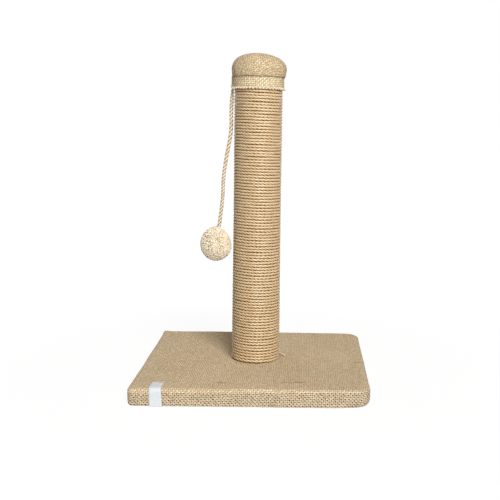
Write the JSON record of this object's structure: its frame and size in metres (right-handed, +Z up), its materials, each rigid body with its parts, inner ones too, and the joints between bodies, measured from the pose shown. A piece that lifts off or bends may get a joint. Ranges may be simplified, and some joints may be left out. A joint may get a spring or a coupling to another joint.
{
  "type": "cat scratching post",
  "caption": "Square cloth-covered base carrying a rope-wound post with a padded cap, a jute band and a pom-pom hanging on a cord.",
  "frame": {"origin": "centre of the base's underside, on the surface that the post stands on", "axes": "+Z up along the post, -Y to the front edge that carries the ribbon, -X to the side where the pom-pom hangs"},
  "size_m": [0.3, 0.3004, 0.44],
  "materials": {
    "board": "raw medium density fibreboard",
    "jute_cloth": "coarse plain jute weave",
    "staple_wire": "galvanised wire",
    "satin_ribbon": "bare satin",
    "cardboard_tube": "spiral wound kraft board",
    "plug_wood": "raw softwood",
    "zinc_steel": "zinc plated",
    "jute_rope": "twisted jute rope",
    "wadding": "polyester wadding",
    "cap_cloth": "gathered jute weave",
    "band_strip": "pale jute strip with open edges",
    "toy_cord": "twisted jute cord",
    "pompom_yarn": "cut cream yarn"
  },
  "bodies": {
    "post": {"base_board": "board", "base_cover": "jute_cloth", "cover_staples": "staple_wire", "tag_ribbon": "satin_ribbon", "post_tube": "cardboard_tube", "bottom_plug": "plug_wood", "top_plug": "plug_wood", "plug_staples": "staple_wire", "tee_nut": "zinc_steel", "post_bolt": "zinc_steel", "bolt_washer": "zinc_steel", "rope_winding": "jute_rope", "cap_pad": "wadding", "cap_cover": "cap_cloth", "cap_staples": "staple_wire", "cap_band": "band_strip", "cord_fixed_end": "toy_cord"},
    "cord_bend": {"cord_bend": "toy_cord"},
    "cord": {"toy_cord": "toy_cord", "cord_end_knot": "toy_cord"},
    "pompom": {"pompom": "pompom_yarn"}
  },
  "joints": [
    {"name": "swing_sideways", "type": "hinge", "parent": "post", "child": "cord_bend", "pos_m": [-0.0349, 0, 0.3904], "axis": [1, 0, 0], "range_deg": [-80, 80]},
    {"name": "swing_outwards", "type": "hinge", "parent": "cord_bend", "child": "cord", "pos_m": [-0.0349, 0, 0.3904], "axis": [0, 1, 0], "range_deg": [0, 80]},
    {"name": "pompom_twirl", "type": "hinge", "parent": "cord", "child": "pompom", "pos_m": [-0.05529, 0, 0.18274], "axis": [0.1395, 0, 0.9902], "range_deg": [-180, 180]}
  ]
}
